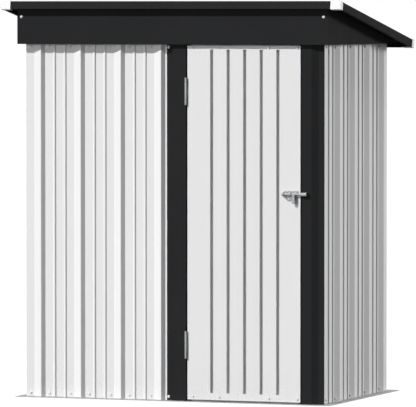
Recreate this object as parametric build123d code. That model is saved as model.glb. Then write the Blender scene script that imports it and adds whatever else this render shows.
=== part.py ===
# Small lean-to storage shed in ribbed sheet steel, with one hinged door.
# Millimetres, +Z up, the front faces -Y, the origin is on the ground under the middle of the roof.
import os
from math import ceil, cos, hypot, radians, sin, tan

from build123d import *

os.makedirs("parts", exist_ok=True)

# Driving sizes of the whole shed
wall_width = 1424.0
wall_depth = 886.0
eaves_height = 1584.0
roof_pitch = 10.0
roof_side_overhang = 96.0
roof_front_overhang = 62.0
roof_back_overhang = 67.0

# Sheet, folded steel and fits
sheet = 1.2
steel = 1.5
fit = 0.3
moving_gap = 5.0

# Ribbed sheet: one tall rib that rises slowly and falls steeply, and two low beads, in each pitch
rib_pitch = 192.7
rib_rise = 36.0
rib_crest = 3.0
rib_fall = 15.0
rib_height = 13.5
bead_offsets = (63.5, 114.5)
side_rib_pitch = 199.7
side_bead_offsets = (87.5, 141.5)
bead_top = 5.0
bead_slope = 4.8
bead_height = 4.5
edge_margin = 4.0

# Where the crest of the first rib stands on each sheet, from its left end or from the front line
front_first_rib = 77.5
side_first_rib = 207.0
back_first_rib = 74.0
roof_first_rib = 90.0

# Base rails
foot_width = 36.0
foot_thickness = 2.5
kerb_height = 45.0

# Top rails and corner angles inside the walls
top_rail_height = 42.0
top_rail_lip = 25.0
wall_cover = 8.0
corner_leg = 30.0

# Front: header, posts and doorway
header_stand = 28.0
gable_stand = 27.0
gable_back_reach = 5.0
back_board_height = 6.5
header_top_lip = 17.0
post_stand = 10.0
sheet_recess = 20.0
hinge_post_width = 97.5
hinge_post_lap = 33.0
doorway_width = 544.5
corner_post_width = 103.0
corner_post_face = 46.0
corner_post_slope = 30.0
stop_width = 17.0
panel_overlap = 37.0

# Door
door_left_gap = 7.0
door_right_gap = 5.5
door_bottom = 10.0
door_thickness = 14.5
door_edge_depth = 13.0
door_groove_first = 114.8
door_groove_pitch = 77.9
door_groove_count = 5
door_groove_width = 15.5
door_groove_floor = 12.5
door_groove_depth = 12.0
door_groove_bottom_margin = 31.0
door_groove_top_margin = 17.0
door_stile_width = 32.0
door_top_rail_height = 12.0
door_bottom_rail_height = 26.0

# Hinges
hinge_length = 120.0
upper_hinge_height = 1377.0
lower_hinge_height = 252.0
knuckle_radius = 5.0
knuckle_stand = 5.5
knuckle_gap = 0.5
pin_radius = 2.5
pin_clearance = 0.08
hinge_leaf_depth = 13.0

# Latch: plate, two guides, sliding bolt and keeper
latch_height = 927.0
latch_plate_width = 77.0
latch_plate_gap = 16.0
latch_plate_thickness = 2.5
latch_plate_rise = 15.0
latch_plate_drop = 30.0
latch_plate_nose = 14.0
bolt_radius = 5.0
bolt_stand = 10.0
bolt_clearance = 0.1
bolt_throw = 12.0
bolt_tail_margin = 2.0
bolt_tip_gap = 2.0
guide_width = 9.0
guide_wall = 3.0
guide_edge_margin = 6.0
guide_gap = 5.5
lever_width = 12.0
lever_drop = 42.0
keeper_left_margin = 3.0
keeper_width = 24.0

# Roof trim, caps and sheets
fascia_height = 39.0
cap_wall = 2.0
cap_width = 48.0
cap_depth = 28.0
trim_lip = 22.0
trim_foot = 14.0
roof_sheet_count = 3

# Planes worked out from the sizes above
half_width = wall_width / 2
pitch = radians(roof_pitch)
roof_half_width = half_width + roof_side_overhang
roof_depth = roof_front_overhang + wall_depth + roof_back_overhang
roof_front = -roof_depth / 2
front_line = roof_front + roof_front_overhang
back_line = front_line + wall_depth
post_face = front_line - post_stand
header_face = front_line - header_stand
gable_face = half_width + gable_stand
front_flat = post_face + sheet_recess
back_flat = back_line - rib_height
side_flat = half_width - rib_height
front_rail = front_flat + sheet + fit
back_rail = back_flat - sheet - fit
side_rail = side_flat - sheet - fit
wall_foot = foot_thickness + fit
wall_top = eaves_height + wall_cover
top_rail_bottom = wall_top - top_rail_height
stop_face = front_rail - fit - steel
roof_edge_y = roof_front + fascia_height * sin(pitch)
slope_length = (roof_depth - fascia_height * sin(pitch)) / cos(pitch)
trim_set = cap_wall + fit
roof_rib_level = -(trim_set + steel + fit)
roof_flat_level = roof_rib_level - rib_height
roof_underside = roof_flat_level - sheet - fit
gable_back = back_line + gable_back_reach
back_board_foot = eaves_height + steel + fit
roof_back_rise = back_board_foot + back_board_height - roof_underside / cos(pitch)
roof_front_height = roof_back_rise + (gable_back - roof_edge_y) * tan(pitch)
corner_post_left = half_width - corner_post_width
corner_post_fold = corner_post_left + corner_post_face
hinge_post_right = corner_post_left - doorway_width
hinge_post_left = hinge_post_right - hinge_post_width
hinge_post_fold = hinge_post_left + hinge_post_lap
latch_plate_right = corner_post_left - latch_plate_gap
latch_plate_left = latch_plate_right - latch_plate_width
door_left = hinge_post_right + door_left_gap
door_right = corner_post_left - door_right_gap
door_top = eaves_height - moving_gap
hinge_axis_x = hinge_post_right + steel
hinge_axis_y = post_face - knuckle_stand
bolt_y = post_face - bolt_stand


def roof_z(y, level):
    """Height at plan place y of a plane parallel to the roof, level mm above its top."""
    return roof_front_height - (y - roof_edge_y) * tan(pitch) + level / cos(pitch)


def folded(points, thickness):
    """Closed outline of a folded strip: the given line, thickened to its left."""
    shifted = []
    for i, (x, y) in enumerate(points):
        normals = []
        for a, b in ((i - 1, i), (i, i + 1)):
            if a >= 0 and b < len(points):
                dx, dy = points[b][0] - points[a][0], points[b][1] - points[a][1]
                length = hypot(dx, dy)
                normals.append((-dy / length, dx / length))
        nx = sum(n[0] for n in normals) / len(normals)
        ny = sum(n[1] for n in normals) / len(normals)
        scale = thickness / (nx * nx + ny * ny)
        shifted.append((x + nx * scale, y + ny * scale))
    return points + shifted[::-1]


def along_x(points, x0, x1):
    """Prism from x0 to x1 of an outline given as (y, z) points."""
    face = make_face(Plane.YZ.offset(x0) * Polyline(*points, close=True))
    return extrude(face, x1 - x0, dir=(1, 0, 0))


def along_y(points, y0, y1):
    """Prism from y0 to y1 of an outline given as (x, z) points."""
    face = make_face(Plane.XZ.offset(-y0) * Polyline(*points, close=True))
    return extrude(face, y1 - y0, dir=(0, 1, 0))


def along_z(points, z0, z1):
    """Prism from z0 to z1 of an outline given as (x, y) points."""
    face = make_face(Plane.XY.offset(z0) * Polyline(*points, close=True))
    return extrude(face, z1 - z0, dir=(0, 0, 1))


def block(x0, x1, y0, y1, z0, z1):
    """Box between two corners."""
    box = Box(x1 - x0, y1 - y0, z1 - z0)
    return Pos((x0 + x1) / 2, (y0 + y1) / 2, (z0 + z1) / 2) * box


def mirrored(points):
    """The outline on the other side of the shed."""
    return [(-x, y) for x, y in points]


def hump(edge, rise, top, fall, height):
    """Four points of a rib or bead whose top ends at edge."""
    return [(edge - top - rise, 0), (edge - top, height), (edge, height), (edge + fall, 0)]


def ribbed_line(length, first_rib, pitch_length, beads):
    """Outer line of a ribbed sheet: (run, height) points over its length."""
    points = [(0.0, 0.0)]
    for k in range(-1, ceil(length / pitch_length) + 1):
        crest = first_rib + k * pitch_length
        features = [hump(crest, rib_rise, rib_crest, rib_fall, rib_height)]
        features += [hump(crest + at, bead_slope, bead_top, bead_slope, bead_height) for at in beads]
        for feature in features:
            if feature[0][0] > edge_margin and feature[-1][0] < length - edge_margin:
                points += feature
    return points + [(length, 0.0)]


def ribbed_outline(place, length, first_rib, pitch_length=rib_pitch, beads=bead_offsets):
    """Closed outline of a ribbed sheet, with place turning (run, height) into plan points."""
    line = ribbed_line(length, first_rib, pitch_length, beads)
    outer = [place(run, height) for run, height in line]
    inner = [place(run, height - sheet) for run, height in reversed(line)]
    return outer + inner


def base_rails():
    """Galvanised foot rails: a ground flange outside the sheets and a kerb inside them."""
    reach = half_width + foot_width
    front_foot = front_line - foot_width
    back_foot = back_line + foot_width
    front = along_x(
        [
            (front_foot, 0), (front_rail + steel, 0), (front_rail + steel, kerb_height),
            (front_rail, kerb_height), (front_rail, foot_thickness), (front_foot, foot_thickness),
        ],
        -side_rail, side_rail,
    )
    front += block(-reach, -side_rail, front_foot, front_rail + steel, 0, foot_thickness)
    front += block(side_rail, reach, front_foot, front_rail + steel, 0, foot_thickness)
    back = along_x(
        [
            (back_foot, 0), (back_foot, foot_thickness), (back_rail, foot_thickness),
            (back_rail, kerb_height), (back_rail - steel, kerb_height), (back_rail - steel, 0),
        ],
        -side_rail, side_rail,
    )
    back += block(-reach, -side_rail, back_rail - steel, back_foot, 0, foot_thickness)
    back += block(side_rail, reach, back_rail - steel, back_foot, 0, foot_thickness)
    section = [
        (side_rail - steel, 0), (reach, 0), (reach, foot_thickness),
        (side_rail, foot_thickness), (side_rail, kerb_height), (side_rail - steel, kerb_height),
    ]
    y0, y1 = front_rail + steel + fit, back_rail - steel - fit
    return {
        "front_base_rail": front,
        "back_base_rail": back,
        "right_base_rail": along_y(section, y0, y1),
        "left_base_rail": along_y(mirrored(section), y0, y1),
    }


def top_rails():
    """Angles behind the tops of the sheets. The side ones tuck under the other two."""
    low, high = top_rail_bottom, wall_top
    front = folded(
        [(front_rail + top_rail_lip, high), (front_rail, high), (front_rail, low)], steel
    )
    back = folded(
        [(back_rail, low), (back_rail, high), (back_rail - top_rail_lip, high)], steel
    )
    side_high = high - steel - fit
    side = folded(
        [(side_rail, low), (side_rail, side_high), (side_rail - top_rail_lip, side_high)], steel
    )
    y0, y1 = front_rail + steel + fit, back_rail - steel - fit
    return {
        "front_top_rail": along_x(front, -side_rail, side_rail),
        "back_top_rail": along_x(back, -side_rail, side_rail),
        "right_top_rail": along_y(side, y0, y1),
        "left_top_rail": along_y(mirrored(side), y0, y1),
    }


def corner_angles():
    """Upright angles in the three corners that have no black post."""
    side = side_rail - steel - fit
    front = front_rail + steel + fit
    back = back_rail - steel - fit
    high = wall_top - 2 * (steel + fit) - fit
    back_right = folded([(side, back - corner_leg), (side, back), (side - corner_leg, back)], steel)
    front_right = folded([(side - corner_leg, front), (side, front), (side, front + corner_leg)], steel)
    return {
        "back_right_angle": along_z(back_right, 0, high),
        "back_left_angle": along_z(mirrored(back_right), 0, high),
        "front_left_angle": along_z(mirrored(front_right), 0, high),
    }


def wall_sheets():
    """White ribbed sheets of the four walls."""
    front_length = hinge_post_left + panel_overlap + half_width
    right_start = front_line + steel + fit
    left_start = front_rail
    back_length = side_rail - fit / 2

    def front_place(run, height):
        return (-half_width + run, front_flat - height)

    def right_place(run, height):
        return (side_flat + height, right_start + run)

    def left_place(run, height):
        return (-side_flat - height, left_start + run)

    def back_right_place(run, height):
        return (side_rail - run, back_flat + height)

    def back_left_place(run, height):
        return (-side_rail + run, back_flat + height)

    def sheet_of(place, length, first_rib, *profile):
        return along_z(ribbed_outline(place, length, first_rib, *profile), wall_foot, wall_top)

    side_profile = (side_rib_pitch, side_bead_offsets)

    right_rib = front_line + side_first_rib - right_start
    left_rib = front_line + side_first_rib - left_start
    return {
        "front_wall_panel": sheet_of(front_place, front_length, front_first_rib),
        "right_wall_panel": sheet_of(right_place, back_line - right_start, right_rib, *side_profile),
        "left_wall_panel": sheet_of(left_place, back_line - left_start, left_rib, *side_profile),
        "back_wall_panel_right": sheet_of(back_right_place, back_length, back_first_rib),
        "back_wall_panel_left": sheet_of(back_left_place, back_length, back_first_rib),
    }


def posts():
    """Black posts on both sides of the doorway, with stops behind the door's edges."""
    lap = front_flat - fit - steel
    hinge_line = [
        (hinge_post_left, lap), (hinge_post_fold - steel, lap), (hinge_post_fold, post_face),
        (hinge_post_right, post_face), (hinge_post_right, stop_face),
        (hinge_post_right + stop_width, stop_face),
    ]
    corner_line = [
        (corner_post_left - stop_width, stop_face), (corner_post_left, stop_face),
        (corner_post_left, post_face), (corner_post_fold, post_face),
        (corner_post_fold + corner_post_slope, front_line), (half_width, front_line),
    ]
    return {
        "hinge_post": along_z(folded(hinge_line, steel), wall_foot, wall_top),
        "corner_post": along_z(folded(corner_line, steel), wall_foot, wall_top),
    }


def header_and_gables():
    """Black boards that close the space between the walls and the sloping roof."""
    header_back = post_face - fit
    lip_y = header_face + header_top_lip
    header_line = [
        (header_back, eaves_height), (header_face, eaves_height),
        (header_face, roof_z(header_face, roof_underside)), (lip_y, roof_z(lip_y, roof_underside)),
    ]
    header = along_x(folded(header_line[::-1], steel), -gable_face, gable_face)
    end = [
        (header_face + steel / 2, eaves_height + steel / 2), (header_back, eaves_height + steel / 2),
        (header_back, roof_z(header_back, roof_underside) - steel / 2),
        (header_face + steel / 2, roof_z(header_face, roof_underside) - steel / 2),
    ]
    header += along_x(end, gable_face - steel, gable_face)
    header += along_x(end, -gable_face, -gable_face + steel)
    y0, y1 = post_face, gable_back
    board = [
        (y0, eaves_height), (y1, eaves_height),
        (y1, roof_z(y1, roof_underside)), (y0, roof_z(y0, roof_underside)),
    ]
    right = along_x(board, gable_face - steel, gable_face)
    right += block(half_width + fit, gable_face - steel / 2, y0, y1, eaves_height, eaves_height + steel)
    left = along_x(board, -gable_face, -gable_face + steel)
    left += block(-gable_face + steel / 2, -half_width - fit, y0, y1, eaves_height, eaves_height + steel)
    inner = gable_face - steel - fit
    back_top = y1 - steel
    back_line_points = [
        (back_line + fit, back_board_foot), (y1, back_board_foot),
        (y1, roof_z(y1, roof_underside)), (back_top, roof_z(back_top, roof_underside)),
        (back_top, back_board_foot + steel), (back_line + fit, back_board_foot + steel),
    ]
    return {
        "front_header": header,
        "right_gable": right,
        "left_gable": left,
        "back_eaves_board": along_x(back_line_points, -inner, inner),
    }


def on_roof(solid):
    """Places a solid drawn flat, with Y running down the slope and Z out of the roof."""
    return Location((0, roof_edge_y, roof_front_height), (-roof_pitch, 0, 0)) * solid


def roof_sheets():
    """Black ribbed roof sheets, with their ribs running down the slope."""
    inset = trim_set + steel + fit
    half = roof_half_width - inset
    width = (2 * half - (roof_sheet_count - 1) * fit) / roof_sheet_count
    sheets = {}
    for k in range(roof_sheet_count):
        start = -half + k * (width + fit)

        def place(run, height, start=start):
            return (start + run, roof_flat_level + height)

        outline = ribbed_outline(place, width, roof_first_rib)
        sheets[f"roof_sheet_{k + 1}"] = on_roof(along_y(outline, inset, slope_length - inset))
    return sheets


def roof_trims():
    """Black channel trims around the roof, and the pale caps over their corners."""
    high, low = -trim_set, -fascia_height + trim_set
    end_x = roof_half_width - cap_wall - fit - trim_lip - fit
    edge = roof_half_width - trim_set
    front = folded(
        [(trim_set + trim_foot, low), (trim_set, low), (trim_set, high), (trim_set + trim_lip, high)][::-1],
        steel,
    )
    far = slope_length - trim_set
    back = folded([(far - trim_foot, low), (far, low), (far, high), (far - trim_lip, high)], steel)
    side = folded([(edge - trim_foot, low), (edge, low), (edge, high), (edge - trim_lip, high)], steel)
    reach = slope_length - trim_set
    nodes = {
        "front_roof_trim": along_x(front, -end_x, end_x),
        "back_roof_trim": along_x(back, -end_x, end_x),
        "right_roof_trim": along_y(side, trim_set, reach),
        "left_roof_trim": along_y(mirrored(side), trim_set, reach),
    }
    cap = block(roof_half_width - cap_width, roof_half_width, 0, cap_depth, -fascia_height, 0)
    cap -= block(
        roof_half_width - cap_width - cap_wall, roof_half_width - cap_wall,
        cap_wall, cap_depth + cap_wall, -fascia_height + cap_wall, -cap_wall,
    )
    back_cap = Pos(0, slope_length, 0) * mirror(cap, about=Plane.XZ)
    nodes["front_right_cap"] = cap
    nodes["front_left_cap"] = mirror(cap, about=Plane.YZ)
    nodes["back_right_cap"] = back_cap
    nodes["back_left_cap"] = mirror(back_cap, about=Plane.YZ)
    return {name: on_roof(solid) for name, solid in nodes.items()}


def door_leaf():
    """White door: a pressed skin with grooves and turned edges, on four stiffeners."""
    back = post_face + door_thickness
    edge_back = post_face + door_edge_depth
    front = post_face + sheet
    skin = block(door_left, door_right, post_face, edge_back, door_bottom, door_top)
    skin -= block(
        door_left + sheet, door_right - sheet, front, edge_back + sheet,
        door_bottom + sheet, door_top - sheet,
    )
    groove_low = door_bottom + door_groove_bottom_margin
    groove_high = door_top - door_groove_top_margin
    floor_y = post_face + door_groove_depth
    for k in range(door_groove_count):
        centre = door_left + door_groove_first + k * door_groove_pitch
        half, floor_half = door_groove_width / 2, door_groove_floor / 2
        shell = [
            (centre - half - sheet, post_face), (centre - floor_half - sheet, floor_y + sheet),
            (centre + floor_half + sheet, floor_y + sheet), (centre + half + sheet, post_face),
        ]
        groove = [
            (centre - half, post_face), (centre - floor_half, floor_y),
            (centre + floor_half, floor_y), (centre + half, post_face),
        ]
        skin += along_z(shell, groove_low - sheet, groove_high + sheet)
        skin -= along_z(groove, groove_low, groove_high)
    outer_left, outer_right = door_left + sheet + fit, door_right - sheet - fit
    low, high = door_bottom + sheet + fit, door_top - sheet - fit

    left_stile = along_z(
        [(outer_left, front), (outer_left + door_stile_width, front),
         (outer_left + door_stile_width, back), (outer_left + door_stile_width - steel, back),
         (outer_left + door_stile_width - steel, front + steel), (outer_left + steel, front + steel),
         (outer_left + steel, back), (outer_left, back)],
        low, high,
    )
    shift = outer_right - outer_left - door_stile_width
    rail_left = outer_left + door_stile_width + fit
    rail_right = outer_right - door_stile_width - fit

    def rail(z0, z1):
        """Channel across the door with its web on the skin."""
        section = [
            (front, z0), (back, z0), (back, z0 + steel), (front + steel, z0 + steel),
            (front + steel, z1 - steel), (back, z1 - steel), (back, z1), (front, z1),
        ]
        return along_x(section, rail_left, rail_right)

    return {
        "door_skin": skin,
        "door_hinge_stile": left_stile,
        "door_latch_stile": Pos(shift, 0, 0) * left_stile,
        "door_bottom_rail": rail(low, low + door_bottom_rail_height),
        "door_top_rail": rail(high - door_top_rail_height, high),
    }


def hinge(height):
    """One butt hinge in the gap beside the door: the fixed half holds the pin."""
    x, y = hinge_axis_x, hinge_axis_y
    third = hinge_length / 3
    low, high = height - hinge_length / 2, height + hinge_length / 2
    mid_low, mid_high = low + third, high - third

    def round_bar(radius, z0, z1):
        return Pos(x, y, (z0 + z1) / 2) * Cylinder(radius, z1 - z0)

    leaf_back = post_face + hinge_leaf_depth
    fixed = round_bar(knuckle_radius, low, mid_low) + round_bar(knuckle_radius, mid_high, high)
    fixed += round_bar(pin_radius, low, high)
    fixed += block(x - steel, x, post_face, leaf_back, low, high)
    fixed += block(x - steel, x, y, leaf_back, low, mid_low)
    fixed += block(x - steel, x, y, leaf_back, mid_high, high)
    bore = pin_radius + pin_clearance
    moving = round_bar(knuckle_radius, mid_low + knuckle_gap, mid_high - knuckle_gap)
    moving += block(door_left - steel, door_left, post_face, leaf_back, low, high)
    moving += block(door_left - steel, door_left, y, leaf_back, mid_low + knuckle_gap, mid_high - knuckle_gap)
    moving -= round_bar(bore, low, high)
    return fixed, moving


def hinges():
    """Upper and lower hinge, each as its fixed and its moving half."""
    nodes = {}
    for name, height in (("upper", upper_hinge_height), ("lower", lower_hinge_height)):
        fixed, moving = hinge(height)
        nodes[f"{name}_hinge_fixed_half"] = fixed
        nodes[f"{name}_hinge_moving_half"] = moving
    return nodes


def bolt_guide(x0, x1):
    """Saddle with a bore for the bolt, standing off the post face plane."""
    outer = bolt_radius + bolt_clearance + guide_wall
    ring = Pos((x0 + x1) / 2, bolt_y, latch_height) * Rot(0, 90, 0) * Cylinder(outer, x1 - x0)
    foot_y = post_face - latch_plate_thickness
    ring += block(x0, x1, bolt_y, foot_y, latch_height - outer, latch_height + outer)
    bore = Rot(0, 90, 0) * Cylinder(bolt_radius + bolt_clearance, 3 * (x1 - x0))
    return ring - Pos((x0 + x1) / 2, bolt_y, latch_height) * bore


def latch():
    """Sliding bolt on the door, drawn back at rest, and its keeper on the corner post."""
    x0, x1 = latch_plate_left, latch_plate_right
    top, low = latch_height + latch_plate_rise, latch_height - latch_plate_drop
    outline = [
        (x0, latch_height + fit), (x0 + latch_plate_nose, top), (x1, top),
        (x1, latch_height - latch_plate_rise), (x1 - latch_plate_nose, low),
        (x0 + 2 * latch_plate_nose, low),
    ]
    plate_back = post_face - latch_plate_thickness
    plate = along_y(outline, plate_back, post_face)
    lever_right = latch_plate_right - bolt_throw
    lever_left = lever_right - lever_width
    for start in (latch_plate_left + guide_edge_margin, lever_left - guide_gap - guide_width):
        plate += bolt_guide(start, start + guide_width)
    keeper_left = corner_post_left + keeper_left_margin
    keeper = bolt_guide(keeper_left, keeper_left + keeper_width)
    outer = bolt_radius + bolt_clearance + guide_wall
    keeper += block(
        keeper_left, keeper_left + keeper_width, plate_back, post_face,
        latch_height - outer, latch_height + outer,
    )
    tail, tip = latch_plate_left + bolt_tail_margin, keeper_left - bolt_tip_gap
    bolt = Pos((tail + tip) / 2, bolt_y, latch_height) * Rot(0, 90, 0)
    bolt = bolt * Cylinder(bolt_radius, tip - tail)
    lever_y = bolt_y - bolt_radius
    bolt += block(
        lever_left, lever_right, lever_y, bolt_y, latch_height - lever_drop, latch_height,
    )
    return {"latch_plate": plate, "latch_bolt": bolt, "latch_keeper": keeper}


def shed():
    """Every piece of the shed by name."""
    nodes = {}
    for group in (
        base_rails(), top_rails(), corner_angles(), wall_sheets(), posts(), header_and_gables(),
        roof_sheets(), roof_trims(), door_leaf(), hinges(), latch(),
    ):
        nodes.update(group)
    return nodes


for node, solid in shed().items():
    export_step(solid, f"parts/{node}.step")
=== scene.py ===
"""Looks of a small lean-to sheet steel shed: coatings, screws, stage and camera."""

import math
import bpy
from mathutils import Matrix, Vector


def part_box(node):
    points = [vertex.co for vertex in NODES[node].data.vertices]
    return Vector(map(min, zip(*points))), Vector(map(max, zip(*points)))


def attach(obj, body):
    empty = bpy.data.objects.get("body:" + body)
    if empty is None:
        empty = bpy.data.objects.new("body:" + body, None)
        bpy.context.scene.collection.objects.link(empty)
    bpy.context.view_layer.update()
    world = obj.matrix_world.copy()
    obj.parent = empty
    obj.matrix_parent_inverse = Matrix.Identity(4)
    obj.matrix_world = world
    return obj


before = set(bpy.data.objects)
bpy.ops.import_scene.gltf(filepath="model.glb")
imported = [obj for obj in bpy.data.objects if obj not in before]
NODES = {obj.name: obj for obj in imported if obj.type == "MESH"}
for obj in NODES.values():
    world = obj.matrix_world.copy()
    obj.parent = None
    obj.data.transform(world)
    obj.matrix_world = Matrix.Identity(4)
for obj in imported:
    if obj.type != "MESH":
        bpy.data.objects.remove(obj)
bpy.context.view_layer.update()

bl_info = {
    "name": "Lean-to Shed Looks",
    "version": (1, 0, 0),
    "blender": (4, 5, 0),
    "location": "3D View > Sidebar > Shed",
    "description": "Coats the shed, adds its fixings and sets the studio",
    "category": "Object",
}

MM = 0.001
WHITE_NODES = [n for n in NODES if "wall_panel" in n or n.startswith("door_")]
ZINC_NODES = [
    n for n in NODES
    if n.endswith(("base_rail", "_angle", "_half")) or n.startswith("latch_")
    or (n.endswith("top_rail") and not n.startswith("door"))
]
CAP_NODES = [n for n in NODES if n.endswith("_cap")]
BLACK_NODES = [n for n in NODES if n not in WHITE_NODES + ZINC_NODES + CAP_NODES]

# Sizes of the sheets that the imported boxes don't give
SHEET, STEEL, FIT = 1.2 * MM, 1.5 * MM, 0.3 * MM
RIB_PITCH, SIDE_PITCH = 192.7 * MM, 199.7 * MM
RIB_HEIGHT, RIB_CREST, RIB_RISE = 13.5 * MM, 3 * MM, 36 * MM
FRONT_FIRST_RIB, SIDE_FIRST_RIB = 77.5 * MM, 207 * MM
BACK_FIRST_RIB, ROOF_FIRST_RIB = 74 * MM, 90 * MM
FRONT_SETBACK = 11.2 * MM
LATCH_PLATE = 2.5 * MM
ROOF_PITCH = math.radians(10)

# Where the screws stand: after each rib, up a side rib's slope, in from the edges of their
# sheets, and on the roof at shares of its depth
RIB_SCREWS = (34 * MM, 137 * MM)
SLOPE_SCREW, CORNER_SCREW = 8 * MM, 62 * MM
SCREW_MARGIN = 12 * MM
LAP_SCREW_INSET = 8 * MM
DOOR_SCREWS = (25 * MM, 150 * MM, 383.5 * MM, 517.5 * MM)
DOOR_SCREW_EDGE, DOOR_SCREW_DROP = 14 * MM, 8.5 * MM
HEADER_BOLT_INSET, HEADER_BOLT_DROP = 21 * MM, 48 * MM
LATCH_SCREWS = ((70.5 * MM, 40.5 * MM), (26 * MM, 40.5 * MM), (35 * MM, 8.5 * MM))
ROOF_SCREW_ROWS = (0.05, 0.5, 0.95)

# One screw: a washer with its raised middle, and a head with its rim and round recess. The
# latch's screws are a share of that size, and both metals are greys from a dark to a light tone.
WASHER_SIDES, WASHER_THICKNESS = 24, 1.6 * MM
WASHER_EDGE, WASHER_DOME = 1.2 * MM, 0.7 * MM
HEAD_SIDES, HEAD_HEIGHT, HEAD_MIDDLE = 20, 1.8 * MM, 2.2 * MM
HEAD_BEVEL_SHARE, HEAD_RIM_SHARE = 0.3, 0.34
HEAD_DOME, HEAD_RECESS = 0.7 * MM, 0.9 * MM
FACES_UP = 0.9
LATCH_SCREW_SHARE = 0.46
SCREW_TONES, SEAL_TONES = (0.70, 0.78), (0.64, 0.74)

# Where the pieces stand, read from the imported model
PANEL_LOW, PANEL_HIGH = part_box("front_wall_panel")
DOOR_LOW, DOOR_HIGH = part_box("door_skin")
RIGHT_LOW, RIGHT_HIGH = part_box("right_wall_panel")
LEFT_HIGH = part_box("left_wall_panel")[1]
BACK_LOW, BACK_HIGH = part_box("back_wall_panel_right")
HINGE_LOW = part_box("hinge_post")[0]
HEADER_LOW, HEADER_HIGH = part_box("front_header")
PLATE_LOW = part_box("latch_plate")[0]

# Dust: how high it lies on a sheet's foot, and painted shade: how deep it lies in the door's
# grooves; the most of each and its colour, there and for the dust on the black trim
FOOT_DUST, FOOT_DUST_SHARE = (20 * MM, 160 * MM), 0.35
GROOVE_PAINTED_SHADE, GROOVE_PAINTED_SHADE_SHARE = (4 * MM, 11 * MM), 0.6
TRIM_DUST_SHARE = 0.12
FOOT_DUST_COLOUR = (0.52, 0.5, 0.46, 1)
GROOVE_PAINTED_SHADE_COLOUR = (0.42, 0.42, 0.41, 1)
TRIM_DUST_COLOUR = (0.03, 0.03, 0.029, 1)
BUMP_STRENGTH = 0.35

# The floor: its size in metres, and how light it is to the room and to the eye
FLOOR_SIZE = 400
FLOOR_BOUNCE, FLOOR_WHITE = (0.10, 0.10, 0.10, 1), (0.8, 0.8, 0.8, 1)
FLOOR_GLOW, FLOOR_GLOW_SHARE = 1.08, 0.9

# Each lamp: the studio value of its strength, where it shines from and its width in degrees
LAMPS = (
    ("key", (-0.498, -0.573, 0.60), 2.5),
    ("side", (0.60, 0.70, 0.12), 12),
    ("fill", (-0.574, -0.819, 0.02), 25),
    ("top", (0.2, 0.12, 1.0), 30),
)

# Camera: place, turn to the shed and tilt, from the fit to the photograph's corners
CAMERA_YAW, CAMERA_TILT = 20.9, 2.271
CAMERA_DISTANCE, CAMERA_HEIGHT = 22.53, 1.7557
CAMERA_SENSOR, CAMERA_REACH = 36, 600
WALL_MIDDLE_Y = -0.013


class ShedSizes(bpy.types.PropertyGroup):
    """Sizes of the fixings."""

    screw_head: bpy.props.FloatProperty(
        name="Screw head", description="Radius of a sheet screw's head",
        default=4.4 * MM, min=1 * MM, max=10 * MM, unit="LENGTH",
    )
    washer: bpy.props.FloatProperty(
        name="Washer", description="Radius of the sealing washer under a sheet screw",
        default=6.6 * MM, min=2 * MM, max=15 * MM, unit="LENGTH",
    )
    screw_edge: bpy.props.FloatProperty(
        name="Screw edge distance", description="Height of the lower screw row above the ground",
        default=18 * MM, min=5 * MM, max=80 * MM, unit="LENGTH",
    )
    screw_drop: bpy.props.FloatProperty(
        name="Screw drop", description="Depth of the upper screw row under the header",
        default=12 * MM, min=5 * MM, max=80 * MM, unit="LENGTH",
    )


class ShedColours(bpy.types.PropertyGroup):
    """Colours of the coatings."""

    white: bpy.props.FloatVectorProperty(
        name="White coat", description="Colour of the wall and door sheets",
        default=(0.79, 0.79, 0.795), size=3, min=0, max=1, subtype="COLOR",
    )
    black: bpy.props.FloatVectorProperty(
        name="Black coat", description="Colour of the posts, header and roof",
        default=(0.0220, 0.0225, 0.0236), size=3, min=0, max=1, subtype="COLOR",
    )
    zinc: bpy.props.FloatVectorProperty(
        name="Zinc", description="Colour of the galvanised rails and fittings",
        default=(0.39, 0.395, 0.40), size=3, min=0, max=1, subtype="COLOR",
    )
    cap: bpy.props.FloatVectorProperty(
        name="Corner caps", description="Colour of the moulded roof corners",
        default=(0.82, 0.82, 0.81), size=3, min=0, max=1, subtype="COLOR",
    )


class StudioValues(bpy.types.PropertyGroup):
    """Light and camera of the studio."""

    key: bpy.props.FloatProperty(
        name="Key light", description="Strength of the light from the upper left front",
        default=3.45, min=0, max=20,
    )
    side: bpy.props.FloatProperty(
        name="Side light", description="Strength of the light on the right wall",
        default=1.85, min=0, max=20,
    )
    fill: bpy.props.FloatProperty(
        name="Fill light", description="Strength of the low soft light from the left front",
        default=1.35, min=0, max=20,
    )
    top: bpy.props.FloatProperty(
        name="Top light", description="Strength of the soft light from above on the right foot",
        default=1.3, min=0, max=20,
    )
    ambient: bpy.props.FloatProperty(
        name="Ambient", description="Strength of the even light from all round",
        default=0.09, min=0, max=2,
    )
    lens: bpy.props.FloatProperty(
        name="Lens", description="Focal length of the camera on a 36 mm sensor",
        default=431.64, min=10, max=1000,
    )


class Wire:
    """One shader socket, so that sums and products of sockets read as plain expressions."""

    def __init__(self, graph, socket):
        self.graph, self.socket = graph, socket

    def _math(self, operation, first, second):
        return self.graph.add("ShaderNodeMath", {"operation": operation}, {0: first, 1: second})

    def __add__(self, other):
        return self._math("ADD", self, other)

    __radd__ = __add__

    def __sub__(self, other):
        return self._math("SUBTRACT", self, other)

    def __rsub__(self, other):
        return self._math("SUBTRACT", other, self)

    def __mul__(self, other):
        return self._math("MULTIPLY", self, other)

    def clamped(self):
        """The value kept between 0 and 1."""
        return self.graph.add("ShaderNodeClamp", {}, {0: self})


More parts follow.
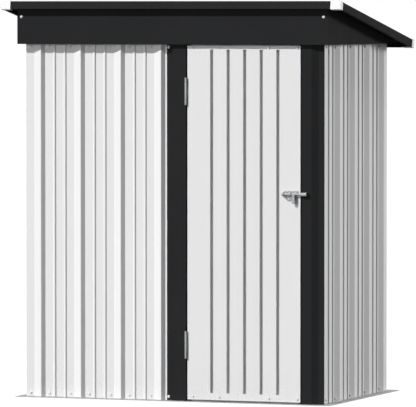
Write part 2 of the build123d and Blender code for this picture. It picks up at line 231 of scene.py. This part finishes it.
class Graph:
    """A material's nodes, and the one way to add a node to them."""

    def __init__(self, name):
        self.material = bpy.data.materials.new(name)
        self.material.use_nodes = True
        self.start(self.material.node_tree)
        self.place = self.add("ShaderNodeTexCoord", output="Object")

    def start(self, tree):
        """Empties a node tree and adds nodes to it from now on."""
        self.tree = tree
        tree.nodes.clear()

    @classmethod
    def of_tree(cls, tree):
        """A graph on a tree that is there already, such as the world's."""
        graph = cls.__new__(cls)
        graph.start(tree)
        return graph

    def add(self, kind, settings=None, inputs=None, output=0):
        """One node: its settings first, then the values or links of its sockets."""
        node = self.tree.nodes.new(kind)
        for key, value in (settings or {}).items():
            setattr(node, key, value)
        for key, value in (inputs or {}).items():
            if isinstance(value, Wire):
                self.tree.links.new(value.socket, node.inputs[key])
            else:
                node.inputs[key].default_value = value
        return Wire(self, node.outputs[output])

    def noise(self, scale, detail=3.0, stretch=(1, 1, 1)):
        """Noise from 0 to 1 at a scale per metre, stretched along the axes."""
        place = self.add("ShaderNodeMapping", {}, {"Vector": self.place, "Scale": stretch})
        return self.add(
            "ShaderNodeTexNoise", {}, {"Vector": place, "Scale": scale, "Detail": detail}
        )

    def step(self, value, low, high):
        """0 below low, 1 above high, with an even rise between them."""
        return self.add(
            "ShaderNodeMapRange", {"clamp": True}, {0: value, 1: low, 2: high, 3: 0.0, 4: 1.0}
        )

    def mix(self, share, first, second):
        """Mix of two colours."""
        return self.add(
            "ShaderNodeMix", {"data_type": "RGBA"}, {0: share, 6: first, 7: second}, output=2
        )

    def along(self, axis):
        """Place along one axis, in metres; along Z it is the height above the ground."""
        return self.add("ShaderNodeSeparateXYZ", {}, {0: self.place}, output=axis)

    def seen(self):
        """1 for the rays of the camera, of reflections and through glass, and else 0."""
        camera, glossy, through = (
            self.add("ShaderNodeLightPath", output=f"Is {ray} Ray")
            for ray in ("Camera", "Glossy", "Transmission")
        )
        return (camera + glossy + through).clamped()

    def surface(self, base, roughness, metallic=0.0, *, bump, depth, coat=0.0, gloss=0.5):
        """The finished surface, joined to the material's output."""
        normal = self.add(
            "ShaderNodeBump", {}, {"Height": bump, "Strength": BUMP_STRENGTH, "Distance": depth}
        )
        self.add_output(self.add("ShaderNodeBsdfPrincipled", {}, {
            "Base Color": base, "Roughness": roughness, "Metallic": metallic, "Coat Weight": coat,
            "Specular IOR Level": gloss, "Normal": normal,
        }))
        return self.material

    def add_output(self, shader, kind="ShaderNodeOutputMaterial"):
        """Ends the graph in one shader."""
        output = self.tree.nodes.new(kind)
        self.tree.links.new(shader.socket, output.inputs["Surface"])


def rgba(colour, level=1.0):
    """A colour property as a shader colour, at a level."""
    return (colour[0] * level, colour[1] * level, colour[2] * level, 1.0)


def white_coat(colours, name="white_coat", painted_shade_y=None):
    """Smooth baked coat: faint cloudy tone, run marks down the sheet and dust at its foot.

    Given the y of a face, the grooves that lie behind that face are darkened with painted shade.
    """
    g = Graph(name)
    cloud = g.noise(3.0, 2.0)
    runs = g.noise(1.0, 4.0, (34, 34, 0.7))
    peel = g.noise(420.0, 2.0)
    grit = g.noise(160.0, 3.0)
    foot = (1 - g.step(g.along("Z"), *FOOT_DUST)) * g.step(grit, 0.45, 0.72)
    tone = (cloud - 0.5) * 0.5 + (runs - 0.5) * 0.35 + 0.5
    coat = g.mix(tone.clamped(), rgba(colours.white, 0.975), rgba(colours.white, 1.02))
    if painted_shade_y is not None:
        # Painted shade: the groove floors behind the face are darkened towards grey, as shade
        # would fall there.
        painted_groove_shade = g.step(g.along("Y"), *(painted_shade_y + depth for depth in GROOVE_PAINTED_SHADE))
        coat = g.mix(painted_groove_shade * GROOVE_PAINTED_SHADE_SHARE, coat, GROOVE_PAINTED_SHADE_COLOUR)
    dusty = g.mix((foot * FOOT_DUST_SHARE).clamped(), coat, FOOT_DUST_COLOUR)
    rough = 0.36 + (runs - 0.5) * 0.12 + foot * 0.2
    return g.surface(dusty, rough, bump=peel, depth=0.15 * MM, coat=0.05, gloss=0.2)


def black_coat(colours):
    """Matt black coat with a fine grain and a trace of dust."""
    g = Graph("black_coat")
    cloud = g.noise(4.0, 3.0)
    grain = g.noise(520.0, 2.0)
    runs = g.noise(1.0, 3.0, (26, 26, 0.8))
    base = g.mix(cloud, rgba(colours.black, 0.9), rgba(colours.black, 1.12))
    dust = g.step(g.noise(60.0, 4.0), 0.56, 0.8) * TRIM_DUST_SHARE
    dusty = g.mix(dust, base, TRIM_DUST_COLOUR)
    rough = 0.75 + (runs - 0.5) * 0.14
    return g.surface(dusty, rough, bump=grain, depth=0.18 * MM, gloss=0.015)


def zinc_coat(colours):
    """Hot dip zinc: crystal spangle with its own tone and gloss in each crystal."""
    g = Graph("zinc_coat")
    crystal = g.add(
        "ShaderNodeTexVoronoi", {"feature": "F1"}, {"Vector": g.place, "Scale": 85.0},
        output="Color",
    )
    pick = g.add("ShaderNodeSeparateXYZ", {}, {0: crystal}, output="X")
    haze = g.noise(14.0, 4.0)
    scratch = g.noise(1.0, 3.0, (30, 30, 420))
    base = g.mix(pick, rgba(colours.zinc, 0.86), rgba(colours.zinc, 1.1))
    dulled = g.mix((g.step(haze, 0.5, 0.78) * 0.4).clamped(), base, rgba(colours.zinc, 0.8))
    rough = 0.5 + (pick - 0.5) * 0.14 + (haze - 0.5) * 0.18
    return g.surface(dulled, rough, 0.2, bump=scratch, depth=0.1 * MM, gloss=0.06)


def cap_plastic(colours):
    """Moulded corner plastic with a fine mould grain."""
    g = Graph("cap_plastic")
    grain = g.noise(700.0, 2.0)
    cloud = g.noise(9.0, 3.0)
    base = g.mix(cloud, rgba(colours.cap, 0.97), rgba(colours.cap, 1.02))
    return g.surface(base, 0.5 + (cloud - 0.5) * 0.1, bump=grain, depth=0.2 * MM)


def screw_steel():
    """Pale plated steel, a little worn."""
    g = Graph("screw_steel")
    wear = g.noise(240.0, 3.0)
    base = g.mix(wear, *(rgba((tone, tone, tone)) for tone in SCREW_TONES))
    return g.surface(base, 0.38 + (wear - 0.5) * 0.2, 0.1, bump=wear, depth=0.1 * MM)


def washer_seal():
    """Pale rubbery seal under the screw heads."""
    g = Graph("washer_seal")
    grain = g.noise(600.0, 3.0)
    base = g.mix(grain, *(rgba((tone, tone, tone)) for tone in SEAL_TONES))
    return g.surface(base, 0.62, bump=grain, depth=0.1 * MM)


def put_on(material, names):
    """Gives one material to the named CAD nodes, on all their slots."""
    for name in names:
        mesh = NODES[name].data
        mesh.materials.clear()
        mesh.materials.append(material)


def clear_selection():
    """Leaves nothing selected, in object mode."""
    if bpy.context.object is not None and bpy.context.object.mode != "OBJECT":
        bpy.ops.object.mode_set(mode="OBJECT")
    bpy.ops.object.select_all(action="DESELECT")


def pick_top(obj):
    """Opens the object in edit mode with only its upward faces selected."""
    bpy.ops.object.mode_set(mode="EDIT")
    bpy.ops.mesh.select_all(action="DESELECT")
    bpy.ops.object.mode_set(mode="OBJECT")
    for face in obj.data.polygons:
        face.select = face.normal.z > FACES_UP
    bpy.ops.object.mode_set(mode="EDIT")


def turned(normal):
    """Rotation that turns a screw modelled along +Z to look along a normal."""
    return Vector(normal).to_track_quat("Z", "Y").to_matrix().to_4x4()


def washer_and_head(name, washer_radius, head_radius, seal, steel):
    """One screw along +Z: a washer with a raised middle, and a head with a round recess."""
    clear_selection()
    bpy.ops.mesh.primitive_cylinder_add(
        vertices=WASHER_SIDES, radius=washer_radius, depth=WASHER_THICKNESS
    )
    washer = bpy.context.object
    pick_top(washer)
    bpy.ops.mesh.inset(thickness=WASHER_EDGE, depth=0)
    bpy.ops.transform.translate(value=(0, 0, WASHER_DOME))
    bpy.ops.object.mode_set(mode="OBJECT")
    washer.data.materials.append(seal)
    clear_selection()
    bpy.ops.mesh.primitive_cylinder_add(
        vertices=HEAD_SIDES, radius=head_radius, depth=HEAD_HEIGHT, location=(0, 0, HEAD_MIDDLE)
    )
    head = bpy.context.object
    pick_top(head)
    bpy.ops.mesh.inset(thickness=head_radius * HEAD_BEVEL_SHARE, depth=0)
    bpy.ops.transform.translate(value=(0, 0, HEAD_DOME))
    bpy.ops.mesh.inset(thickness=head_radius * HEAD_RIM_SHARE, depth=0)
    bpy.ops.transform.translate(value=(0, 0, -HEAD_RECESS))
    bpy.ops.object.mode_set(mode="OBJECT")
    head.data.materials.append(steel)
    clear_selection()
    head.select_set(True)
    washer.select_set(True)
    bpy.context.view_layer.objects.active = washer
    bpy.ops.object.join()
    screw = bpy.context.object
    bpy.ops.object.transform_apply(location=True, rotation=True, scale=True)
    screw.name = name
    return screw


def screw_model(context, share=1.0):
    """The one screw that a row copies, at a share of the usual size."""
    sizes = context.scene.shed_sizes
    seal = bpy.data.materials.get("washer_seal") or washer_seal()
    steel = bpy.data.materials.get("screw_steel") or screw_steel()
    washer, head = sizes.washer * share, sizes.screw_head * share
    return washer_and_head("screw_model", washer, head, seal, steel)


def screw_places(start, end, first_rib, pitch):
    """Two places in each rib pitch, on the flats beside the rib, between a sheet's two ends."""
    places = []
    for k in range(-1, math.ceil((end - start) / pitch) + 1):
        for offset in RIB_SCREWS:
            run = first_rib + k * pitch + offset
            if SCREW_MARGIN < run < end - start - SCREW_MARGIN:
                places.append(start + run)
    return places


def slope_screw_places(back):
    """Places on the front slopes of a side wall's ribs, a little way up each slope."""
    front = PANEL_HIGH.y - FRONT_SETBACK
    places = []
    for k in range(math.ceil((back - front) / SIDE_PITCH)):
        run = SIDE_FIRST_RIB + k * SIDE_PITCH - RIB_CREST / 2 - RIB_RISE + SLOPE_SCREW
        if run < back - front - SCREW_MARGIN:
            places.append(front + run)
    return places


def roof_flat_z(y, low, high):
    """Height of a roof sheet's flats at plan place y."""
    return high.z - RIB_HEIGHT / math.cos(ROOF_PITCH) - (y - low.y) * math.tan(ROOF_PITCH)


def screw_row(name, model, places, normal, body):
    """Copies of one screw at each place, joined into one piece that rides on a body."""
    copies = []
    for place in places:
        copy = model.copy()
        copy.data = model.data.copy()
        copy.data.transform(Matrix.Translation(place) @ turned(normal))
        bpy.context.scene.collection.objects.link(copy)
        copies.append(copy)
    clear_selection()
    for copy in copies:
        copy.select_set(True)
    bpy.context.view_layer.objects.active = copies[0]
    if len(copies) > 1:
        bpy.ops.object.join()
    row = bpy.context.object
    row.name = name
    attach(row, body)


class SHED_OT_coatings(bpy.types.Operator):
    """Give every sheet, rail and cap its coating"""

    bl_idname = "shed.coatings"
    bl_label = "Coatings"

    def execute(self, context):
        colours = context.scene.shed_colours
        put_on(white_coat(colours), WHITE_NODES)
        # The door's coat has painted shade in its grooves.
        put_on(white_coat(colours, "door_coat", DOOR_LOW.y), ["door_skin"])
        put_on(black_coat(colours), BLACK_NODES)
        put_on(zinc_coat(colours), ZINC_NODES)
        put_on(cap_plastic(colours), CAP_NODES)
        return {"FINISHED"}


class SHED_OT_screws(bpy.types.Operator):
    """Set the rows of screws along the foot and head of the walls and the door"""

    bl_idname = "shed.screws"
    bl_label = "Sheet screws"

    def execute(self, context):
        sizes = context.scene.shed_sizes
        model = screw_model(context)
        low, high = sizes.screw_edge, HEADER_LOW.z - sizes.screw_drop
        front_y, right_x = PANEL_HIGH.y - SHEET, RIGHT_LOW.x + SHEET
        left_x, back_y = LEFT_HIGH.x - SHEET, BACK_LOW.y + SHEET
        lap_x, lap_y = HINGE_LOW.x + LAP_SCREW_INSET, PANEL_HIGH.y - SHEET - FIT - STEEL
        door_low, door_high = DOOR_LOW.z + DOOR_SCREW_EDGE, DOOR_HIGH.z - DOOR_SCREW_DROP
        corner_y = PANEL_HIGH.y - FRONT_SETBACK + CORNER_SCREW
        lift = SLOPE_SCREW * RIB_HEIGHT / RIB_RISE
        front_places = screw_places(PANEL_LOW.x, HINGE_LOW.x, FRONT_FIRST_RIB, RIB_PITCH)
        back_places = screw_places(0, BACK_HIGH.x, BACK_FIRST_RIB, RIB_PITCH)
        rows = (
            ("front_panel_screws", (0, -1, 0), "shed", low, high,
             [(x, front_y) for x in front_places]),
            ("post_lap_screws", (0, -1, 0), "shed", low, high, [(lap_x, lap_y)]),
            ("right_corner_screws", (1, 0, 0), "shed", low, high, [(right_x, corner_y)]),
            ("left_corner_screws", (-1, 0, 0), "shed", low, high, [(left_x, corner_y)]),
            ("right_wall_screws", (1, 0, 0), "shed", low, high,
             [(right_x + lift, y) for y in slope_screw_places(RIGHT_HIGH.y)]),
            ("left_wall_screws", (-1, 0, 0), "shed", low, high,
             [(left_x - lift, y) for y in slope_screw_places(LEFT_HIGH.y)]),
            ("back_wall_screws", (0, 1, 0), "shed", low, high,
             [(side * (BACK_HIGH.x - x), back_y) for side in (-1, 1) for x in back_places]),
            ("door_screws", (0, -1, 0), "door", door_low, door_high,
             [(DOOR_LOW.x + x, DOOR_LOW.y) for x in DOOR_SCREWS]),
        )
        for name, normal, body, foot, head, places in rows:
            points = [Vector((x, y, z)) for x, y in places for z in (foot, head)]
            screw_row(name, model, points, normal, body)
        bpy.data.objects.remove(model)
        return {"FINISHED"}


class SHED_OT_header_bolts(bpy.types.Operator):
    """Set the bolts of the header's ends"""

    bl_idname = "shed.header_bolts"
    bl_label = "Header bolts"

    def execute(self, context):
        model = screw_model(context)
        across = HEADER_HIGH.x - HEADER_BOLT_INSET
        height = HEADER_HIGH.z - HEADER_BOLT_DROP
        bolts = [Vector((side * across, HEADER_LOW.y, height)) for side in (-1, 1)]
        screw_row("header_bolts", model, bolts, (0, -1, 0), "shed")
        bpy.data.objects.remove(model)
        return {"FINISHED"}


class SHED_OT_latch_screws(bpy.types.Operator):
    """Set the small screws of the latch plate"""

    bl_idname = "shed.latch_screws"
    bl_label = "Latch screws"

    def execute(self, context):
        model = screw_model(context, LATCH_SCREW_SHARE)
        face_y = DOOR_LOW.y - LATCH_PLATE
        places = [Vector((PLATE_LOW.x + x, face_y, PLATE_LOW.z + z)) for x, z in LATCH_SCREWS]
        screw_row("latch_screws", model, places, (0, -1, 0), "door")
        bpy.data.objects.remove(model)
        return {"FINISHED"}


class SHED_OT_roof_screws(bpy.types.Operator):
    """Set the screws that hold the roof sheets"""

    bl_idname = "shed.roof_screws"
    bl_label = "Roof screws"

    def execute(self, context):
        model = screw_model(context)
        up = Vector((0, math.sin(ROOF_PITCH), math.cos(ROOF_PITCH)))
        sheets = [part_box(n) for n in sorted(NODES) if n.startswith("roof_sheet")]
        points = []
        for low, high in sheets:
            for x in screw_places(low.x, high.x, ROOF_FIRST_RIB, RIB_PITCH):
                for share in ROOF_SCREW_ROWS:
                    y = low.y + share * (high.y - low.y)
                    points.append(Vector((x, y, roof_flat_z(y, low, high))))
        screw_row("roof_screws", model, points, up, "shed")
        bpy.data.objects.remove(model)
        return {"FINISHED"}


class SHED_OT_stage(bpy.types.Operator):
    """Lay the floor, hang the lights and set the camera"""

    bl_idname = "shed.stage"
    bl_label = "Stage"

    def execute(self, context):
        values = context.scene.shed_studio
        clear_selection()
        bpy.ops.mesh.primitive_plane_add(size=FLOOR_SIZE)
        floor = bpy.context.object
        floor.name = "floor"
        floor.data.materials.append(floor_paint())
        for name, towards, spread in LAMPS:
            add_sun(f"{name}_light", towards, getattr(values, name), spread)
        light_world(values.ambient)
        add_camera(values.lens)
        return {"FINISHED"}


def floor_paint():
    """Floor that is white to the eye and in reflections, and dim to the room's light.

    Its glow is strong enough to hide the shadow that its small matte share takes.
    """
    paint = bpy.data.materials.new("floor_paint")
    paint.use_nodes = True
    g = Graph.of_tree(paint.node_tree)
    dim = g.add("ShaderNodeBsdfDiffuse", {}, {"Color": FLOOR_BOUNCE})
    matte = g.add("ShaderNodeBsdfDiffuse", {}, {"Color": FLOOR_WHITE})
    glow = g.add("ShaderNodeEmission", {}, {"Color": (1, 1, 1, 1), "Strength": FLOOR_GLOW})
    white = g.add("ShaderNodeMixShader", {}, {0: FLOOR_GLOW_SHARE, 1: matte, 2: glow})
    g.add_output(g.add("ShaderNodeMixShader", {}, {0: g.seen(), 1: dim, 2: white}))
    return paint


def add_sun(name, towards, strength, spread):
    """A sun lamp that shines from a direction."""
    lamp = bpy.data.lights.new(name, "SUN")
    lamp.energy, lamp.angle = strength, math.radians(spread)
    obj = bpy.data.objects.new(name, lamp)
    obj.rotation_mode = "QUATERNION"
    obj.rotation_quaternion = Vector(towards).to_track_quat("Z", "Y")
    bpy.context.scene.collection.objects.link(obj)


def light_world(strength):
    """Even light all round, seen as white by the camera and in reflections."""
    world = bpy.data.worlds.new("studio")
    bpy.context.scene.world = world
    world.use_nodes = True
    g = Graph.of_tree(world.node_tree)
    room = g.seen() * (1 - strength) + strength
    back = g.add("ShaderNodeBackground", {}, {"Color": (1, 1, 1, 1), "Strength": room})
    g.add_output(back, "ShaderNodeOutputWorld")


def add_camera(lens):
    """The camera at the photograph's viewing angle."""
    camera = bpy.data.cameras.new("camera")
    camera.lens, camera.sensor_width = lens, CAMERA_SENSOR
    camera.clip_end = CAMERA_REACH
    obj = bpy.data.objects.new("camera", camera)
    yaw = math.radians(CAMERA_YAW)
    obj.location = (
        CAMERA_DISTANCE * math.sin(yaw),
        WALL_MIDDLE_Y - CAMERA_DISTANCE * math.cos(yaw),
        CAMERA_HEIGHT,
    )
    obj.rotation_euler = (math.radians(90 - CAMERA_TILT), 0, yaw)
    bpy.context.scene.collection.objects.link(obj)
    bpy.context.scene.camera = obj
    bpy.context.scene.view_settings.view_transform = "Standard"


class SHED_PT_panel(bpy.types.Panel):
    """Sidebar panel with the shed's sizes, colours and steps"""

    bl_label = "Shed"
    bl_idname = "SHED_PT_panel"
    bl_space_type = "VIEW_3D"
    bl_region_type = "UI"
    bl_category = "Shed"

    def draw(self, context):
        column = self.layout.column()
        for group in GROUPS:
            values = getattr(context.scene, group)
            for name in values.__annotations__:
                column.prop(values, name)
        for step in STEPS:
            column.operator(step.bl_idname)


STEPS = (
    SHED_OT_coatings, SHED_OT_screws, SHED_OT_header_bolts, SHED_OT_latch_screws,
    SHED_OT_roof_screws, SHED_OT_stage,
)
GROUPS = {"shed_sizes": ShedSizes, "shed_colours": ShedColours, "shed_studio": StudioValues}


def register():
    for cls in (*GROUPS.values(), *STEPS, SHED_PT_panel):
        bpy.utils.register_class(cls)
    for name, group in GROUPS.items():
        setattr(bpy.types.Scene, name, bpy.props.PointerProperty(type=group))


def unregister():
    for name in GROUPS:
        delattr(bpy.types.Scene, name)
    for cls in (SHED_PT_panel, *reversed(STEPS), *reversed(GROUPS.values())):
        bpy.utils.unregister_class(cls)


def main():
    register()
    bpy.ops.shed.coatings()
    bpy.ops.shed.screws()
    bpy.ops.shed.header_bolts()
    bpy.ops.shed.latch_screws()
    bpy.ops.shed.roof_screws()
    bpy.ops.shed.stage()


if __name__ == "__main__":
    main()
